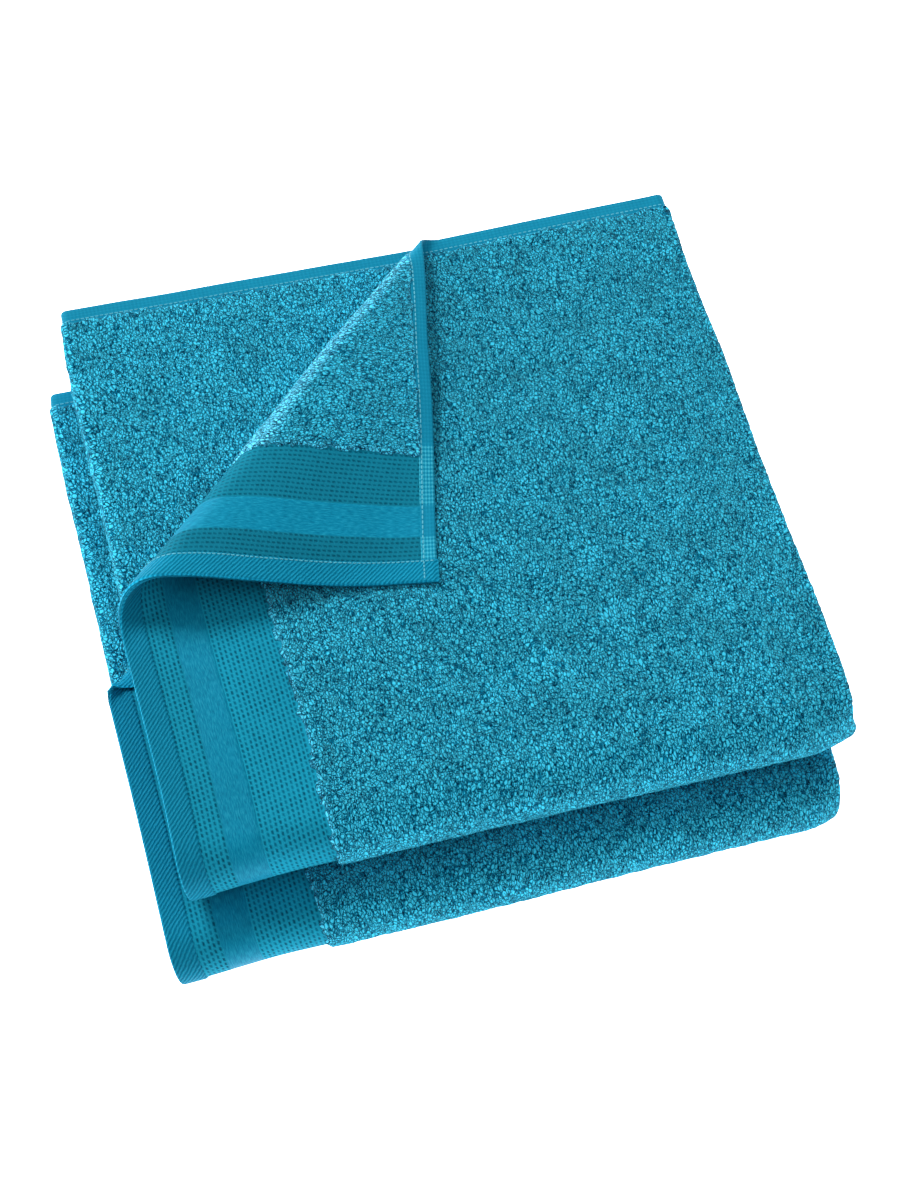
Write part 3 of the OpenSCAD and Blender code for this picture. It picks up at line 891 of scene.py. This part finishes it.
def weave_pile(towel, fine, across, hidden):
    """The pile from the border through three folds to the inner border."""
    m = towel.marks
    slab(towel, "outer_terry", ["outer_terry", "flap_terry", "crease_roll", "right_fold_outer"],
         TERRY,
         edged(spaced([(BORDER, fine), (m[1], ROUND_FOLDS), (m[2], 1)]), PILE_RIM), PILE_SIDES,
         with_rims(towel, across), towel.terry_t, pile=0.5 * MM, lip=PILE_LIP, rim=PILE_RIM,
         round_a=(True, False))
    seen = width_lines(towel, fine * 1.1, 0.17, 1) if towel.name == "upper" else hidden
    slab(towel, "second_panel", ["second_panel", "left_fold"], TERRY,
         spaced([(m[2], ROUND_FOLDS), (m[2] + 4 * MM, 2 * fine), (m[3] - 0.2, fine),
                 (m[3], ROUND_FOLDS), (m[4], 1)]),
         PILE_SIDES, with_rims(towel, seen), towel.terry_t, pile=0.45 * MM, rim=PILE_RIM,
         round_a=(False, False))
    slab(towel, "third_panel", ["third_panel", "right_fold_inner"], TERRY,
         spaced([(m[4], ROUND_FOLDS), (m[4] + 4 * MM, COARSE), (m[5], ROUND_FOLDS), (m[6], 1)]),
         PILE_SIDES, hidden, towel.terry_t, rim=PILE_RIM, round_a=(False, False))
    end = towel.length - BORDER
    slab(towel, "inner_terry", ["inner_terry"], TERRY,
         spaced([(m[6], COARSE), (end, 1)]), PILE_SIDES, hidden, towel.terry_t, rim=PILE_RIM,
         round_a=(False, True))


def weave_inner_end(towel, hidden):
    """The border and the end hem inside the fold, where only their edges could show."""
    border = towel.length - BORDER
    hem = towel.length - END_HEM
    slab(towel, "inner_border", ["inner_border"], WAFFLE,
         spaced([(border - TUCK, COARSE), (hem + TUCK, 1)]), BAND_SIDES, hidden, BAND_T,
         rim=0.5 * MM, round_a=(False, False))
    slab(towel, "inner_end_hem", ["inner_end_hem"], TWILL,
         edged(spaced([(hem, 2 * MM), (towel.length, 1)]), HEM_RIM), HEM_SIDES, hidden,
         END_HEM_T, rim=HEM_RIM)


def hem_sides(towel, fine):
    """A narrow hem along each selvedge, from one end hem to the other."""
    m = towel.marks
    along = spaced([
        (END_HEM - TUCK, fine), (m[1], ROUND_FOLDS), (m[2], 2 * fine), (m[3], ROUND_FOLDS),
        (m[4], 2 * fine), (m[5], ROUND_FOLDS), (m[6], 2 * fine),
        (towel.length - END_HEM + TUCK, 1),
    ])
    across = np.array([-1, -0.95, -0.85, -0.4, 0, 0.4, 0.85, 0.95, 1.0])
    for half, place in ((1, "top"), (-1, "bottom")):
        nodes = ["side_hem_" + place] + (["flap_side_hem"] if half > 0 else [])
        slab(towel, "side_hem_" + place, nodes, TAPE, along,
             (0, SIDE_HEM + TUCK, half), across, SIDE_HEM_T, round_a=(False, False))


# How far a seam runs from the inner edge of its hem, the spacing of the stitches, and how
# high their centre lies above the cloth
SEAM_INSET = 1.3 * MM
STITCH_PITCH = 2.8 * MM
SHORT_PITCH = 2.2 * MM
STITCH_RISE = 0.02 * MM


def sew_sides(towel):
    """A seam on both faces of each side hem."""
    hold = SIDE_HEM - SEAM_INSET
    height = SIDE_HEM_T / 2 + STITCH_RISE
    ends = (END_HEM, 0), (towel.length - END_HEM, 0)
    for half, place in ((1, "top"), (-1, "bottom")):
        runs = [
            seam(towel, *ends, STITCH_PITCH, face * height, (hold, half)) for face in (1, -1)
        ]
        stitches(towel, "side_stitching_" + place, ["side_stitching_" + place], THREAD, runs)


def sew_ends(towel):
    """A seam along each end hem, and a short one across it at both of its ends."""
    height = -END_HEM_T / 2 - STITCH_RISE
    tab = towel.share(np.array([2 * MM]), 1.5 * MM)[0]
    for label, edge, inwards in (("outer", 0, 1), ("inner", towel.length, -1)):
        line = edge + inwards * (END_HEM - SEAM_INSET)
        runs = [seam(towel, (line, -tab), (line, tab), STITCH_PITCH, height)]
        for half in (1, -1):
            v = half * towel.share(np.array([line]), SIDE_HEM - SEAM_INSET)[0]
            near = (edge + inwards * 1.5 * MM, v)
            runs.append(seam(towel, near, (line, v), SHORT_PITCH, height))
        nodes = [label + "_hem_stitching"] + (["flap_stitching"] if label == "outer" else [])
        stitches(towel, label + "_hem_stitching", nodes, THREAD, runs)


def build(towel, fine, seen):
    """All the pieces of one towel. fine is the close grid spacing and seen the range
    across the cloth, from the middle of the front roll, that shows."""
    across = width_lines(towel, fine, *seen)
    hidden = width_lines(towel, 2 * fine, -0.035, 0.035)
    weave_border(towel, fine, across)
    weave_pile(towel, fine, across, hidden)
    weave_inner_end(towel, hidden)
    hem_sides(towel, fine)
    sew_sides(towel)
    sew_ends(towel)


# The crease is a soft roll on the upper towel, and is pressed nearly flat under it on the
# lower one. The radii, in mm, run from the end hem to the selvedge.
UPPER = Towel("upper", "upper_towel", roll_radii=(13, 12, 10.5, 8.5, 5.5), turn_deg=0.0,
              pressed=False)
LOWER = Towel("lower", "lower_towel", roll_radii=(4.5, 1.5, 1.3, 1.3, 1.3), turn_deg=0.34,
              pressed=True)
build(UPPER, 1.9 * MM, (-0.04, 1))
build(LOWER, 2.4 * MM, (-0.05, 0.09))


# Camera, light and floor. The camera looks at the middle of the upper towel, from its own
# distance and angles.

def aim(thing, target):
    """Turns a camera or light to look at a place."""
    direction = Vector(target) - thing.location
    thing.rotation_euler = direction.to_track_quat("-Z", "Y").to_euler()


CAMERA_AZIMUTH = math.radians(-14.52)
CAMERA_ELEVATION = math.radians(57.70)
CAMERA_DISTANCE = 1.616
target = UPPER.middle + Vector((2 * MM, 0, 0))
lens = bpy.data.cameras.new("camera")
lens.lens = 90
lens.sensor_width = 36
lens.shift_x = 0.0038
lens.shift_y = -0.0117
camera = bpy.data.objects.new("camera", lens)
bpy.context.scene.collection.objects.link(camera)
camera.location = target + CAMERA_DISTANCE * Vector((
    math.sin(CAMERA_AZIMUTH) * math.cos(CAMERA_ELEVATION),
    -math.cos(CAMERA_AZIMUTH) * math.cos(CAMERA_ELEVATION),
    math.sin(CAMERA_ELEVATION),
))
aim(camera, target)
bpy.context.scene.camera = camera


def soft_sun(name, direction, strength, spread, colour):
    """A distant light. spread is its width in degrees, which softens its shadows."""
    light = bpy.data.lights.new(name, "SUN")
    light.energy = strength
    light.angle = math.radians(spread)
    light.color = colour
    made = bpy.data.objects.new(name, light)
    bpy.context.scene.collection.objects.link(made)
    made.location = direction
    aim(made, (0, 0, 0))


soft_sun("key", (-0.45, 0.95, 1.0), 2.65, 24, (1.0, 0.99, 0.97))
soft_sun("overhead", (0.1, -0.15, 1.0), 0.85, 60, (0.9, 0.97, 1.0))
soft_sun("rim", (-1.0, 0.6, 0.4), 1.0, 35, (1.0, 1.0, 1.0))
soft_sun("front_fill", (0.4, -1.0, 0.15), 1.1, 110, (0.65, 0.93, 1.0))

world = bpy.data.worlds.new("studio")
world.use_nodes = True
background = world.node_tree.nodes["Background"].inputs
background["Color"].default_value = (0.95, 0.97, 1.0, 1)
background["Strength"].default_value = 0.08
bpy.context.scene.world = world
bpy.context.scene.view_settings.view_transform = "Standard"

# The floor lies just under the lowest loops
FLOOR_HALF = 6.0
FLOOR_LEVEL = -0.7 * MM
floor_mesh = bpy.data.meshes.new("floor")
floor_mesh.from_pydata([
    (-FLOOR_HALF, -FLOOR_HALF, 0), (FLOOR_HALF, -FLOOR_HALF, 0),
    (FLOOR_HALF, FLOOR_HALF, 0), (-FLOOR_HALF, FLOOR_HALF, 0),
], [], [(0, 1, 2, 3)])
floor = bpy.data.objects.new("floor", floor_mesh)
bpy.context.scene.collection.objects.link(floor)
floor.location.z = FLOOR_LEVEL


def floor_colour(tree):
    """Plain pale floor, very slightly uneven."""
    places = add(tree, "TexCoord").outputs["Object"]
    patches = add(tree, "TexNoise", {"Vector": places, "Scale": 3.0, "Detail": 2.0}).outputs[0]
    colour = colours(tree, patches, (0.3, (0.93, 0.93, 0.93)), (0.7, (0.96, 0.96, 0.96)))
    return colour, patches


# The floor glows a little, so that it stays white and lights the sides of the stack
pale = finished("floor", floor_colour, 0.9, 0.0, 0.02, 0.1 * MM, 0.1)
glow = pale.node_tree.nodes["Principled BSDF"].inputs
glow["Emission Color"].default_value = (1, 1, 1, 1)
glow["Emission Strength"].default_value = 1.9
floor_mesh.materials.append(pale)
